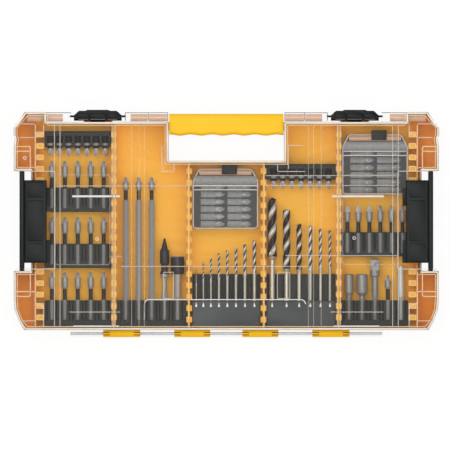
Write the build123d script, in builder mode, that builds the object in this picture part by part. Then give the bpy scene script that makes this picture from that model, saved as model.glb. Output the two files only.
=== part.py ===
from build123d import *

import os
from math import cos, pi

# A bit set case: a yellow tray with a clear hinged lid, filled with bits, drills and drivers.
# It lies on its back. X runs along its length, Y from the hinge to the handle, and Z from the
# back of the tray out through the lid. The origin is under the middle. All sizes are in mm.

# Overall size, shut
case_length = 446.0
case_width = 238.6
case_depth = 48.0
latch_proud = 2.4

# Walls and running gaps
wall = 2.2
floor = 2.2
lid_skin = 2.0
rim_gap = 0.2
fit_gap = 0.3
running_gap = 0.07
bottom_chamfer = 2.0
lid_chamfer = 1.2

# Hinge: knuckles on one pin, along the lower edge
pin_r = 1.5
knuckle_r = 3.7

half_length = case_length / 2
top_y = case_width / 2 - latch_proud
bottom_y = 2 * knuckle_r + fit_gap - case_width / 2
parting_z = case_depth / 2
lid_rim_z = parting_z + rim_gap
ceiling_z = case_depth - lid_skin

# Outline of the shell: waists for the side latches, a bay for the handle and a strip for the flange
waist_depth = 18.0
waist_low_y = -49.7
waist_high_y = 55.2
waist_x = half_length - waist_depth
handle_bay = 60.6
handle_bay_depth = 51.0
handle_bay_y = top_y - handle_bay_depth
corner_length = 32.0
strip_depth = 10.3
strip_x = half_length - corner_length
strip_y = top_y - strip_depth
lower_corner = [(11.0, 0.0), (5.6, 9.6), (1.0, 21.6), (0.2, 34.6)]
upper_corner = [(0.2, 35.5), (1.5, 27.9), (0.0, 24.2), (0.0, 16.5), (5.0, 10.9), (11.3, 0.0)]

# Handle bar with a waved grip
handle_gap = 0.6
handle_y = 104.4
handle_height = 21.4
handle_low_z = 10.0
handle_high_z = 38.0
handle_round = 4.0
wave_pitch = 22.6
wave_height = 1.3
wave_steps = 8

# Slotted walls that divide the tray into bays
inner_wall_x = 39.0
web = 1.6
tooth_width = 6.0
tooth_pitch = 12.0
wall_top_z = 28.0
rail_depth = 10.0
rail_gap = 1.6
rail_x = waist_x - wall - rail_gap - web / 2
rail_face_x = rail_x - rail_depth + web / 2
box_width = 69.6
outer_wall_x = rail_face_x - box_width - 2 * fit_gap - tooth_width / 2

# Knuckles, from the middle of the hinge outwards
knuckle_edges = [0.0, 16.5, 55.0, 90.0, 129.6, 164.0]
knuckle_gap = 0.3
hinge_y = bottom_y - knuckle_r - fit_gap
knuckle_web = 7.0
groove_length = 7.0
groove_width = 1.0
groove_depth = 1.0
groove_offset = 1.3
groove_top = 0.3

# Side latches, hinged in the lid's corners
side_recess_depth = 5.0
side_recess_x = 43.3
side_recess_low_y = -46.6
side_recess_high_y = 54.0
side_pivot_x = half_length - 8.8
side_pivot_z = case_depth - 4.4
side_pin_r = 1.8
fin_width = 5.2
fin_bottom_z = case_depth - 11.0
plate_low_y = -41.2
plate_high_y = 45.5
fin_chamfer = 1.2
plate_reach = 28.3
plate_thickness = 4.2
tongue_reach = 3.9
tongue_thickness = 2.0
tongues = [(18.5, 37.0), (-41.2, -17.0)]
panel_height = 0.4
panels = [(-39.0, -21.0), (-18.0, 24.0), (28.0, 43.0)]
panel_margin = 3.0

# Top latches, hinged in lugs on the lid's flange
latch_x = 134.8
latch_length = 50.2
latch_notch = 54.5
latch_pivot_y = top_y - 4.4
latch_pivot_z = 36.0
latch_pin_r = 1.1
latch_pin_reach = 2.0
latch_low_y = strip_y + 1.3
latch_top_z = 39.5
latch_cap_z = 31.0
latch_foot_z = 16.8
latch_plate_y = 3.4
latch_plate_length = 44.0
stem_length = 14.8
stem_height = 4.0
latch_centre_length = 21.7
latch_bump_gap = 12.0
latch_slope = 5.4
latch_end_drop = 3.4
latch_pads = [(-21.0, -9.6), (-8.4, 8.4), (9.6, 21.0)]
latch_pad_y = (110.6, 115.4)
latch_pad_height = 0.5
latch_bump_proud = 1.4
latch_corner = 1.5
catch_length = 30.0
catch_reach = 1.8
catch_height = 2.0
catch_gap = 0.8

# The lid's flange, which reaches out over the handle side of the tray
flange_z = 33.5
flange_thickness = 2.4
flange_lip = 2.0
flange_lip_height = 5.0
flange_ribs = [36.0, 42.0, 48.0, 51.0, 123.0, 129.0, 135.0, 141.0]
lug_length = 4.0
lug_low_z = 30.0
lug_high_z = 40.0

# Bits and the bars that hold them
hex_across = 6.35
shank_gap = 0.3
bit_z = 14.0
bar_top_z = 18.6
cover_bar_top_z = 19.6
power_bit = 50.0
short_bit = 25.0
long_bit = 150.0
power_pitch = 13.6
short_pitch = 9.6
right_pitch = 11.6
power_bar = 25.4
foot_bar = 28.4
short_bar = 16.5
short_bar_back = 1.0
short_bar_cap = 5.0
short_bar_window = 7.0
tail_rise = 3.6
foot_tail_rise = 8.0
clip_mouth = 4.2
finger_foot = 7.0
finger_slit = 1.2
finger_slit_depth = 6.0
bar_chamfer = 0.8

# Turned forms of the driver bits
waist_r = 2.1
nose_length = 6.5
point_length = 1.2
point_r = 0.9
shoulder_r = 1.5
flute_r = 1.2
flute_offset = 2.5
blade_length = 7.0
blade_thickness = 1.4
power_shank = 21.0
power_waist = 11.5
long_shank = 126.0
long_waist = 10.0
point_bit_length = 47.0
insert_shank = 15.5
ring_groove = 0.5
sleeve_step = 0.23

# Where each bar's lower edge stands
foot_y = bottom_y + wall + fit_gap
middle_bar_y = -46.6
upper_bar_y = 12.3
short_left_y = 80.6
short_right_y = 46.2
right_bar_y = -34.4

# Twist drills and their index bars
large_drills = {"drill_10": (10.0, 133.0), "drill_8": (8.0, 115.0), "drill_6": (6.0, 94.0),
                "drill_5": (5.0, 89.0), "drill_4": (4.0, 83.0), "drill_3_5": (3.5, 80.0)}
small_drills = [(1.5, 40.0), (2.0, 49.0), (2.5, 54.0), (3.0, 61.0),
                (3.2, 64.5), (3.5, 68.5), (4.0, 74.0), (4.5, 80.0)]
drill_relief = 0.95
drill_shank_share = 0.36
drill_point = 0.6
drill_seat = 3.6
small_drill_seat = 12.0
large_drill_rise = 2.9
large_first_x = 48.1
large_gap = 6.2
small_drill_rise = 3.5
small_first_x = -31.6
small_gap = 5.7
index_height = 56.0
index_cover_height = 28.0
index_top_z = 12.0
cover_low_z = 19.6
cover_thickness = 2.2

# Small clear cases of short bits
box_height = 64.0
box_wall = 1.4
box_tray = 10.0
box_depth = 24.0
box_cut_x = 6.5
box_cut_y = 12.0
box_cut_round = 2.0
box_foot_corner = 3.0
box_left_x = -1.0
box_left_gap = 1.7
box_right_y = 30.1
box_columns = 2
box_column_bits = 7
box_bit_pitch = 7.8
box_top_room = 6.4
box_column_step = 28.2
box_column_start = 8.8
box_bar = 9.0
box_bit_lift = 0.6
box_bar_cover = 1.0
box_chamfer = 0.8
tab_hang = 2.0
tab_length = 16.0
tab_offset = 4.2
tab_thickness = 1.5
tab_reach = 3.9
tab_lap = 6.5
box_left_y = handle_bay_y - wall - box_left_gap - tab_reach - box_height

# Bay limits between the faces of the slotted walls
bay_1 = (-rail_face_x, -outer_wall_x - tooth_width / 2)
bay_2 = (-outer_wall_x + tooth_width / 2, -inner_wall_x - tooth_width / 2)
bay_3 = (-inner_wall_x + tooth_width / 2, inner_wall_x - tooth_width / 2)
bay_4 = (inner_wall_x + tooth_width / 2, outer_wall_x - tooth_width / 2)
bay_5 = (outer_wall_x + tooth_width / 2, rail_face_x)


def middle(bay):
    return (bay[0] + bay[1]) / 2


def room(bay):
    return bay[1] - bay[0] - 2 * fit_gap


def places(bay, count, pitch):
    return [middle(bay) + (i - (count - 1) / 2) * pitch for i in range(count)]


def save(piece, name):
    piece.label = name
    export_step(piece, f"parts/{name}.step")


def block(x, y, z, mode=Mode.ADD):
    """A box between two values along each axis."""
    with BuildSketch(Plane.XY.offset(z[0])) as plan:
        with Locations(((x[0] + x[1]) / 2, (y[0] + y[1]) / 2)):
            Rectangle(abs(x[1] - x[0]), abs(y[1] - y[0]))
    extrude(plan.sketch, amount=z[1] - z[0], mode=mode)


def rod_x(radius, x, y, z, mode=Mode.ADD):
    """A round bar or hole along X."""
    with BuildSketch(Plane.YZ.offset(x[0])) as section:
        with Locations((y, z)):
            Circle(radius)
    extrude(section.sketch, amount=x[1] - x[0], mode=mode)


def rod_y(radius, x, y, z, mode=Mode.ADD):
    """A round bar or hole along Y."""
    with BuildSketch(Plane((x, y[0], z), x_dir=(1, 0, 0), z_dir=(0, 1, 0))) as section:
        Circle(radius)
    extrude(section.sketch, amount=y[1] - y[0], mode=mode)


def turned(points):
    """A solid of revolution about Y from points given as radius and distance along Y."""
    with BuildSketch() as profile:
        with BuildLine():
            Polyline(*points, close=True)
        make_face()
    revolve(profile.sketch, axis=Axis.Y)


os.makedirs("parts", exist_ok=True)

# Plan of the shell and of the hollow inside its wall
right_edge = (
    [(0, bottom_y)]
    + [(half_length - inset, bottom_y + rise) for inset, rise in lower_corner]
    + [(half_length - lower_corner[-1][0], waist_low_y), (waist_x, waist_low_y),
       (waist_x, waist_high_y), (half_length - upper_corner[0][0], waist_high_y)]
    + [(half_length - inset, top_y - drop) for inset, drop in upper_corner]
    + [(strip_x, top_y), (strip_x, strip_y), (handle_bay, strip_y),
       (handle_bay, handle_bay_y), (0, handle_bay_y)]
)
with BuildSketch() as shell_plan:
    with BuildLine():
        Polyline(*right_edge)
        mirror(about=Plane.YZ)
    make_face()
with BuildSketch() as hollow_plan:
    add(shell_plan.sketch)
    offset(amount=-wall, kind=Kind.INTERSECTION, mode=Mode.REPLACE)

# Slotted walls and end rails, seen from above
slot_low_y = bottom_y + wall
with BuildSketch() as slotted_plan:
    for side in (-1, 1):
        for x, high_y in ((inner_wall_x, handle_bay_y - wall), (outer_wall_x, strip_y - wall)):
            length = high_y - slot_low_y
            with Locations((side * x, slot_low_y + length / 2)):
                Rectangle(web, length)
                with GridLocations(0, tooth_pitch, 1, int(length / tooth_pitch)):
                    Rectangle(tooth_width, tooth_pitch / 2)
        length = strip_y - wall - slot_low_y
        with Locations((side * rail_x, slot_low_y + length / 2)):
            Rectangle(web, length)
        with Locations((side * (rail_x - (rail_depth - web) / 2), slot_low_y + length / 2)):
            with GridLocations(0, tooth_pitch, 1, int(length / tooth_pitch)):
                Rectangle(rail_depth, tooth_pitch / 2)


def wave_edge():
    """Points along the waved lower edge of the handle, from left to right."""
    half = handle_bay - handle_gap
    count = int(2 * half / wave_pitch * wave_steps)
    low = handle_y - handle_height / 2
    for i in range(count + 1):
        x = -half + 2 * half * i / count
        yield (x, low - wave_height * (1 - cos(2 * pi * (x + half) / wave_pitch)) / 2)


with BuildPart() as handle:
    with BuildSketch(Plane.XY.offset(handle_low_z)):
        with BuildLine():
            grip_edge = Spline(*wave_edge())
            high = handle_y + handle_height / 2
            Polyline(grip_edge @ 0, ((grip_edge @ 0).X, high), ((grip_edge @ 1).X, high), grip_edge @ 1)
        make_face()
    extrude(amount=handle_high_z - handle_low_z)
    ends = handle.faces().filter_by(Axis.Z)
    long_edges = [e for face in ends for e in face.edges() if e.length > handle_bay]
    fillet(long_edges, handle_round)

# Places of the knuckles that belong to the tray and to the lid
lid_knuckles = [(-knuckle_edges[1], knuckle_edges[1])]
base_knuckles = []
for i in range(1, len(knuckle_edges) - 1):
    owner = base_knuckles if i % 2 else lid_knuckles
    for side in (-1, 1):
        owner.append(tuple(sorted((side * knuckle_edges[i], side * knuckle_edges[i + 1]))))


def knuckle(span, z):
    """One hinge knuckle and the web that ties it to the wall between two heights."""
    x = (span[0] + knuckle_gap, span[1] - knuckle_gap)
    rod_x(knuckle_r, x, hinge_y, parting_z)
    block(x, (hinge_y, bottom_y + wall / 2), z)


with BuildPart() as base_shell:
    with BuildSketch():
        add(shell_plan.sketch)
    extrude(amount=parting_z)
    chamfer(base_shell.faces().sort_by(Axis.Z)[0].outer_wire().edges(), bottom_chamfer / 2)
    with BuildSketch(Plane.XY.offset(floor)):
        add(hollow_plan.sketch)
    extrude(amount=parting_z - floor, mode=Mode.SUBTRACT)
    with BuildSketch(Plane.XY.offset(floor)):
        add(slotted_plan.sketch)
    extrude(amount=wall_top_z - floor)
    # The handle bar and the shoulders that it grows from
    add(handle.part)
    for side in (-1, 1):
        shoulder = (side * (handle_bay - handle_gap - handle_round), side * (handle_bay + wall / 2))
        shoulder_low = handle_y - handle_height / 2 + handle_round
        block(shoulder, (shoulder_low, strip_y), (handle_low_z + handle_round, parting_z))
        # Catch for the top latch
        catch_z = latch_foot_z - catch_gap
        catch_x = (side * latch_x - catch_length / 2, side * latch_x + catch_length / 2)
        block(catch_x, (strip_y - wall / 2, strip_y + catch_reach), (catch_z - catch_height, catch_z))
    for span in base_knuckles:
        knuckle(span, (parting_z - knuckle_web, parting_z))
    for span in base_knuckles:
        rod_x(pin_r + running_gap, span, hinge_y, parting_z, mode=Mode.SUBTRACT)
        # Two short grooves at each end of the knuckle
        for end, inward in ((span[0] + knuckle_gap, 1), (span[1] - knuckle_gap, -1)):
            for y in (hinge_y - groove_offset, hinge_y + groove_offset):
                x = (end, end + inward * groove_length)
                z = (parting_z + knuckle_r - groove_depth - groove_top, parting_z + knuckle_r)
                block(x, (y - groove_width / 2, y + groove_width / 2), z, mode=Mode.SUBTRACT)

hinge_reach = knuckle_edges[-1] - knuckle_gap
with BuildPart() as hinge_pin:
    rod_x(pin_r, (-hinge_reach, hinge_reach), hinge_y, parting_z)

recess_edge_x = half_length - side_recess_x
recess_floor_z = case_depth - side_recess_depth
recess_middle_y = (side_recess_low_y + side_recess_high_y) / 2
recess_height = side_recess_high_y - side_recess_low_y
with BuildSketch() as recess_plan:
    for side in (-1, 1):
        with Locations((side * (recess_edge_x + side_recess_x / 2), recess_middle_y)):
            Rectangle(side_recess_x, recess_height)
with BuildSketch() as recess_wall_plan:
    for side in (-1, 1):
        with Locations((side * (recess_edge_x - wall + (side_recess_x + wall) / 2), recess_middle_y)):
            Rectangle(side_recess_x + wall, recess_height + 2 * wall)

with BuildPart() as lid_shell:
    with BuildSketch(Plane.XY.offset(lid_rim_z)):
        add(shell_plan.sketch)
    extrude(amount=case_depth - lid_rim_z)
    chamfer(lid_shell.faces().sort_by(Axis.Z)[-1].outer_wire().edges(), lid_chamfer)
    # Recesses that the side latches lie in
    with BuildSketch(Plane.XY.offset(recess_floor_z)):
        add(recess_plan.sketch)
    extrude(amount=side_recess_depth, mode=Mode.SUBTRACT)
    # Hollow, deep under the skin and shallower under the recesses
    with BuildSketch(Plane.XY.offset(lid_rim_z)):
        add(hollow_plan.sketch)
        add(recess_wall_plan.sketch, mode=Mode.SUBTRACT)
    extrude(amount=ceiling_z - lid_rim_z, mode=Mode.SUBTRACT)
    with BuildSketch(Plane.XY.offset(lid_rim_z)):
        add(hollow_plan.sketch)
        add(recess_wall_plan.sketch, mode=Mode.INTERSECT)
    extrude(amount=recess_floor_z - lid_skin - lid_rim_z, mode=Mode.SUBTRACT)
    for side in (-1, 1):
        # Flange with its lip and ribs, notched for the latch
        flange_x = (side * handle_bay, side * strip_x)
        flange_y = (strip_y - wall / 2, top_y)
        block(flange_x, flange_y, (flange_z, flange_z + flange_thickness))
        lip_z = (flange_z - flange_lip_height, flange_z + flange_thickness)
        block(flange_x, (top_y - flange_lip, top_y), lip_z)
        for inset in flange_ribs:
            rib = side * (half_length - inset)
            block((rib - web / 2, rib + web / 2), flange_y, lip_z)
        notch = (side * latch_x - latch_notch / 2, side * latch_x + latch_notch / 2)
        block(notch, (strip_y, top_y), (lid_rim_z, case_depth), mode=Mode.SUBTRACT)
        # Lugs with the holes for the latch's pins
        for lug in ((notch[0] - lug_length, notch[0]), (notch[1], notch[1] + lug_length)):
            block(lug, flange_y, (lug_low_z, lug_high_z))
            rod_x(latch_pin_r + running_gap, lug, latch_pivot_y, latch_pivot_z, mode=Mode.SUBTRACT)
        # Holes for the side latch's pins
        for ear in ((waist_low_y - wall, waist_low_y), (waist_high_y, waist_high_y + wall)):
            rod_y(side_pin_r + running_gap, side * side_pivot_x, ear, side_pivot_z, mode=Mode.SUBTRACT)
    for span in lid_knuckles:
        knuckle(span, (lid_rim_z, parting_z + knuckle_web))
    for span in lid_knuckles:
        rod_x(pin_r + running_gap, span, hinge_y, parting_z, mode=Mode.SUBTRACT)


def side_latch(side):
    """A flat latch over the lid's recess, with a fin and end pins outside the waist."""
    with BuildPart() as latch:
        outer = side * (side_pivot_x + fin_width / 2)
        inner = side * (side_pivot_x - fin_width / 2)
        top_z = recess_floor_z + fit_gap + plate_thickness
        low_z = recess_floor_z + fit_gap
        fin_y = (waist_low_y + fit_gap, waist_high_y - fit_gap)
        block((outer, inner), fin_y, (fin_bottom_z, top_z))
        chamfer(latch.edges().filter_by(Axis.Y), fin_chamfer)
        plate_x = (inner, outer - side * plate_reach)
        block(plate_x, (plate_low_y, plate_high_y), (low_z, top_z))
        for tongue in tongues:
            block((inner, plate_x[1] - side * tongue_reach), tongue, (low_z, low_z + tongue_thickness))
        for panel in panels:
            panel_x = (plate_x[0] - side * panel_margin, plate_x[1] + side * panel_margin)
            block(panel_x, panel, (top_z, top_z + panel_height))
        pins_y = (waist_low_y - wall + fit_gap, waist_high_y + wall - fit_gap)
        rod_y(side_pin_r, side * side_pivot_x, pins_y, side_pivot_z)
    return latch.part


def top_latch(side):
    """A small latch: a bumped cap on two pins, a hanging plate and a stem towards the catch."""
    with BuildPart() as latch:
        x = side * latch_x
        half = latch_length / 2
        outline = [(-half, latch_low_y), (half, latch_low_y),
                   (half, top_y - latch_end_drop),
                   (half - latch_slope, top_y + latch_bump_proud),
                   (half - latch_bump_gap, top_y + latch_bump_proud),
                   (latch_centre_length / 2, top_y + latch_proud)]
        left = [(-px, py) for px, py in reversed(outline[2:])]
        with BuildSketch(Plane.XY.offset(latch_cap_z)):
            with BuildLine():
                Polyline(*[(x + px, py) for px, py in outline + left], close=True)
            make_face()
        extrude(amount=latch_top_z - latch_cap_z)
        inner_edge = latch.edges().filter_by(Axis.X).group_by(Axis.Z)[-1].sort_by(Axis.Y)[0]
        chamfer(inner_edge, latch_corner)
        for pad in latch_pads:
            block((x + pad[0], x + pad[1]), latch_pad_y, (latch_top_z, latch_top_z + latch_pad_height))
        plate = (x - latch_plate_length / 2, x + latch_plate_length / 2)
        plate_y = (top_y - latch_plate_y, top_y)
        block(plate, plate_y, (latch_foot_z, latch_cap_z))
        stem = (x - stem_length / 2, x + stem_length / 2)
        stem_y = (strip_y + fit_gap, plate_y[0])
        block(stem, stem_y, (latch_foot_z, latch_foot_z + stem_height))
        pins = (x - latch_notch / 2 - latch_pin_reach, x + latch_notch / 2 + latch_pin_reach)
        rod_x(latch_pin_r, pins, latch_pivot_y, latch_pivot_z)
    return latch.part


def bar_block(bay, low_y, high_y, low_z, top_z):
    """The plain bar that a row of channels or holes is cut into."""
    x = (middle(bay) - room(bay) / 2, middle(bay) + room(bay) / 2)
    block(x, (low_y, high_y), (low_z, top_z))


def channel(x, width, low_y, high_y, axis_z, radius, top_z):
    """A round-bottomed channel, open towards the lid, that one shank lies in."""
    block((x - width / 2, x + width / 2), (low_y, high_y), (axis_z, top_z), mode=Mode.SUBTRACT)
    rod_y(radius, x, (low_y, high_y), axis_z, mode=Mode.SUBTRACT)


hex_corner = hex_across / 3 ** 0.5
shank_r = hex_corner + shank_gap / 2


def open_bar(bay, xs, low_y, height=power_bar, rise=tail_rise):
    """A bar whose shanks lie in channels between springy fingers, under a narrower mouth."""
    with BuildPart() as bar:
        high_y = low_y + height
        bar_block(bay, low_y, high_y, floor, bar_top_z)
        chamfer(bar.faces().sort_by(Axis.Z)[-1].edges().filter_by(Axis.X), bar_chamfer)
        for x in xs:
            channel(x, clip_mouth, low_y + rise - fit_gap, high_y, bit_z, shank_r, bar_top_z)
            for slit in (-1, 1):
                slit_x = x + slit * (shank_r + finger_slit)
                ends = (slit_x - finger_slit / 2, slit_x + finger_slit / 2)
                slit_z = (bar_top_z - finger_slit_depth, bar_top_z)
                block(ends, (low_y + finger_foot, high_y), slit_z, mode=Mode.SUBTRACT)
    return bar.part


def covered_bar(bay, xs, low_y):
    """A bar with a cap over its shanks' tails and a window over the rest of each shank."""
    with BuildPart() as bar:
        high_y = low_y + short_bar
        bar_block(bay, low_y, high_y, floor, cover_bar_top_z)
        chamfer(bar.faces().sort_by(Axis.Z)[-1].edges(), bar_chamfer)
        for x in xs:
            rod_y(shank_r, x, (low_y, high_y - short_bar_back), bit_z, mode=Mode.SUBTRACT)
            window = (x - short_bar_window / 2, x + short_bar_window / 2)
            block(window, (low_y, high_y - short_bar_cap), (bit_z, cover_bar_top_z), mode=Mode.SUBTRACT)
    return bar.part


def hexagon(low_y, high_y, across=hex_across, mode=Mode.ADD):
    """A hexagonal bar or socket along Y on the tool's own axis, corner upwards."""
    with BuildSketch(Plane((0, low_y, 0), x_dir=(1, 0, 0), z_dir=(0, 1, 0))) as section:
        RegularPolygon(across / 2, 6, major_radius=False, rotation=30)
    extrude(section.sketch, amount=high_y - low_y, mode=mode)


def flutes(length):
    """Four grooves along a driver's point."""
    with BuildSketch(Plane((0, length, 0), x_dir=(1, 0, 0), z_dir=(0, 1, 0))) as section:
        with PolarLocations(flute_offset, 4, start_angle=45):
            Circle(flute_r)
    extrude(section.sketch, amount=-nose_length, mode=Mode.SUBTRACT)


def driver_bit(length, shank, waist, blade=False):
    """A driver bit with its tail at the origin: hexagonal shank, slim waist, head and point."""
    head = shank + waist
    head_r = hex_across / 2
    with BuildPart() as bit:
        hexagon(0, shank)
        turned([(0, shank - waist_r / 2), (waist_r, shank - waist_r / 2), (waist_r, head),
                (head_r, head + waist_r), (head_r, length - nose_length),
                (shoulder_r, length - point_length), (point_r, length), (0, length)])
        if blade:
            for z in ((blade_thickness / 2, head_r), (-head_r, -blade_thickness / 2)):
                block((-head_r, head_r), (length - blade_length, length), z, mode=Mode.SUBTRACT)
        else:
            flutes(length)
    return bit.part


def insert_bit(length=short_bit):
    """A short driver bit: hexagonal body with a ring groove and a turned nose."""
    head_r = hex_across / 2
    neck_r = head_r - ring_groove
    with BuildPart() as bit:
        hexagon(0, insert_shank)
        turned([(0, insert_shank - ring_groove), (neck_r, insert_shank - ring_groove),
                (neck_r, insert_shank + ring_groove), (head_r, insert_shank + 2 * ring_groove),
                (head_r, length - nose_length), (shoulder_r, length - point_length),
                (point_r, length), (0, length)])
        flutes(length)
    return bit.part


def drill(diameter, length):
    """A drill with a plain shank, a slightly slimmer cutting length and a ground point."""
    r = diameter / 2
    body_r = r * drill_relief
    shank = length * drill_shank_share
    with BuildPart() as tool:
        turned([(0, 0), (body_r, 0), (r, r - body_r), (r, shank), (body_r, shank + r - body_r),
                (body_r, length - drill_point * body_r), (0, length)])
    return tool.part


def set_out(shape, spots, down=False):
    """Copies of one tool, tails at the given points; turned about Z when they point down."""
    with BuildPart() as group:
        for spot in spots:
            with Locations(Location(spot, (0, 0, 180 if down else 0))):
                add(shape)
    return group.part


save(base_shell.part, "base_shell")
save(hinge_pin.part, "hinge_pin")
save(lid_shell.part, "lid_shell")
for side, hand in ((-1, "left"), (1, "right")):
    save(side_latch(side), f"side_latch_{hand}")
    save(top_latch(side), f"top_latch_{hand}")

# Rows of 50 mm bits, each in its own bar
five_left = places(bay_1, 5, power_pitch)
power = driver_bit(power_bit, power_shank, power_waist)
for row, low_y, height, rise in (("upper", upper_bar_y, power_bar, tail_rise),
                                 ("middle", middle_bar_y, power_bar, tail_rise),
                                 ("lower", foot_y, foot_bar, foot_tail_rise)):
    save(open_bar(bay_1, five_left, low_y, height, rise), f"rack_{row}_left")
    save(set_out(power, [(x, low_y + rise, bit_z) for x in five_left]), f"bits_{row}_left")

# Rows of 25 mm bits that point down out of covered bars
insert = insert_bit()
for bay, low_y, hand in ((bay_1, short_left_y, "left"), (bay_4, short_right_y, "right")):
    xs = places(bay, 7, short_pitch)
    save(covered_bar(bay, xs, low_y), f"rack_short_{hand}")
    tail_y = low_y + short_bar - short_bar_back - fit_gap
    save(set_out(insert, [(x, tail_y, bit_z) for x in xs], down=True), f"bits_short_{hand}")

# Six 50 mm bits on the right, the first three with a flat blade
six_right = places(bay_5, 6, right_pitch)
save(open_bar(bay_5, six_right, right_bar_y), "rack_power_right")
bladed = driver_bit(power_bit, power_shank, power_waist, blade=True)
with BuildPart() as bits_power_right:
    for i, x in enumerate(six_right):
        with Locations((x, right_bar_y + tail_rise, bit_z)):
            add(bladed if i < 3 else power)
save(bits_power_right.part, "bits_power_right")

# Long bits, a countersink and a quick-release holder in the second bay
seat_y = foot_y + foot_tail_rise
five_long = places(bay_2, 5, power_pitch)
save(open_bar(bay_2, five_long, foot_y, foot_bar, foot_tail_rise), "rack_long")
long_driver = driver_bit(long_bit, long_shank, long_waist)
save(set_out(long_driver, [(x, seat_y, bit_z) for x in five_long[:3]]), "bits_long")


def countersink():
    """A countersink: hexagonal shank, slim neck, two collars, a fluted body and a fine point."""
    shank, neck, collar, body, cone, tip = 30.0, 44.0, 50.0, 58.0, 74.0, 86.0
    neck_r, collar_r, body_r, cone_r = 2.4, 4.6, 4.9, 3.6
    step = 1.0
    with BuildPart() as tool:
        hexagon(0, shank)
        turned([(0, shank - step), (neck_r, shank - step), (neck_r, neck), (collar_r, neck + step),
                (collar_r, collar), (cone_r, collar + step), (cone_r, body), (body_r, body + step),
                (body_r, cone - step), (cone_r, cone), (point_r, tip - step), (0, tip)])
    return tool.part


def quick_release_holder():
    """A bit holder: hexagonal shank, round body and a sliding sleeve round a hexagonal socket."""
    shank, sleeve, end, socket = 25.0, 48.0, 67.0, 15.0
    body_r, sleeve_r, bevel = 3.7, 7.0, 1.0
    with BuildPart() as tool:
        hexagon(0, shank)
        turned([(0, shank - bevel), (body_r, shank - bevel), (body_r, sleeve), (sleeve_r - bevel, sleeve),
                (sleeve_r, sleeve + bevel), (sleeve_r, end - bevel), (sleeve_r - bevel, end), (0, end)])
        hexagon(end - socket, end, across=hex_across + shank_gap, mode=Mode.SUBTRACT)
    return tool.part


save(set_out(countersink(), [(five_long[3], seat_y, bit_z)]), "countersink")
save(set_out(quick_release_holder(), [(five_long[4], seat_y, bit_z)]), "quick_release_holder")

# Nut drivers, a socket adaptor, a point bit and a magnetic holder in the last bay
five_right = places(bay_5, 5, power_pitch)
save(open_bar(bay_5, five_right, foot_y, foot_bar, foot_tail_rise), "rack_nutsetters")


def nutsetter(outer_r, across):
    """A nut driver: hexagonal shank, slim neck and a hollow hexagonal head."""
    shank, neck, head, end, socket = 22.0, 25.0, 28.5, 48.0, 10.0
    neck_r, bevel = 2.6, 0.8
    with BuildPart() as tool:
        hexagon(0, shank)
        turned([(0, shank - bevel), (neck_r, shank - bevel), (neck_r, neck), (outer_r - bevel, head - bevel),
                (outer_r, head), (outer_r, end - bevel), (outer_r - bevel, end), (0, end)])
        hexagon(end - socket, end, across=across, mode=Mode.SUBTRACT)
    return tool.part


def socket_adaptor():
    """A socket adaptor: hexagonal shank, round shaft, collar and a square drive with its ball."""
    shank, collar, square, end = 25.0, 46.0, 52.0, 64.0
    shaft_r, collar_r, drive, bevel, ball_r = 3.3, 5.2, 9.4, 1.0, 1.7
    with BuildPart() as tool:
        hexagon(0, shank)
        turned([(0, shank - bevel), (shaft_r, shank - bevel), (shaft_r, collar - bevel), (collar_r, collar),
                (collar_r, square), (0, square)])
        block((-drive / 2, drive / 2), (square, end), (-drive / 2, drive / 2))
        chamfer(tool.faces().sort_by(Axis.Y)[-1].edges(), bevel)
        with Locations((0, (square + end) / 2, drive / 2 - ball_r / 2)):
            Sphere(ball_r)
    return tool.part


def magnetic_holder():
    """A bit holder: hexagonal shank and a bright sleeve with a hexagonal mouth."""
    shank, end, socket, bevel = 24.0, 57.0, 10.0, 0.5
    sleeve_r = hex_corner + sleeve_step
    with BuildPart() as tool:
        hexagon(0, shank)
        turned([(0, shank - bevel), (sleeve_r - bevel, shank - bevel), (sleeve_r, shank),
                (sleeve_r, end - bevel), (sleeve_r - bevel, end), (0, end)])
        hexagon(end - socket, end, across=hex_across + shank_gap, mode=Mode.SUBTRACT)
    return tool.part


point_driver = driver_bit(point_bit_length, power_shank, power_waist)
for name, shape, x in (("nutsetter_small", nutsetter(4.75, 6.5), five_right[0]),
                       ("nutsetter_large", nutsetter(6.0, 8.2), five_right[1]),
                       ("socket_adaptor", socket_adaptor(), five_right[2]),
                       ("point_bit", point_driver, five_right[3]),
                       ("magnetic_holder", magnetic_holder(), five_right[4])):
    save(set_out(shape, [(x, seat_y, bit_z)]), name)


def drill_places(first_x, diameters, gap):
    """Centres of a row of drills, each clear of the next by the same gap."""
    xs = [first_x]
    for before, after in zip(diameters, diameters[1:]):
        xs.append(xs[-1] + (before + after) / 2 + gap)
    return xs


def index_bar(bay, rows):
    """A drill index: a low bed with a channel for each drill, high along its foot."""
    with BuildPart() as bar:
        bar_block(bay, foot_y, foot_y + index_height, floor, index_top_z)
        bar_block(bay, foot_y, foot_y + index_cover_height - fit_gap, floor, cover_low_z)
        for x, tail_y, diameter in rows:
            r = diameter / 2 + shank_gap / 2
            channel(x, 2 * r, tail_y - fit_gap, foot_y + index_height, bit_z, r, cover_low_z)
    return bar.part


def index_cover(bay):
    """The label cover over the drills' tails, with a rolled upper edge."""
    with BuildPart() as cover:
        bar_block(bay, foot_y, foot_y + index_cover_height, cover_low_z, cover_low_z + cover_thickness)
        chamfer(cover.faces().sort_by(Axis.Z)[-1].edges(), bar_chamfer)
    return cover.part


large_sizes = [diameter for diameter, length in large_drills.values()]
large_rows = []
for (name, (diameter, length)), x in zip(
        large_drills.items(), drill_places(large_first_x, large_sizes, large_gap)):
    tail_y = foot_y + drill_seat + (large_sizes[0] - diameter) * large_drill_rise
    large_rows.append((x, tail_y, diameter))
    save(set_out(drill(diameter, length), [(x, tail_y, bit_z)]), name)
save(index_bar(bay_4, large_rows), "index_large_drills")
save(index_cover(bay_4), "cover_large_drills")

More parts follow.
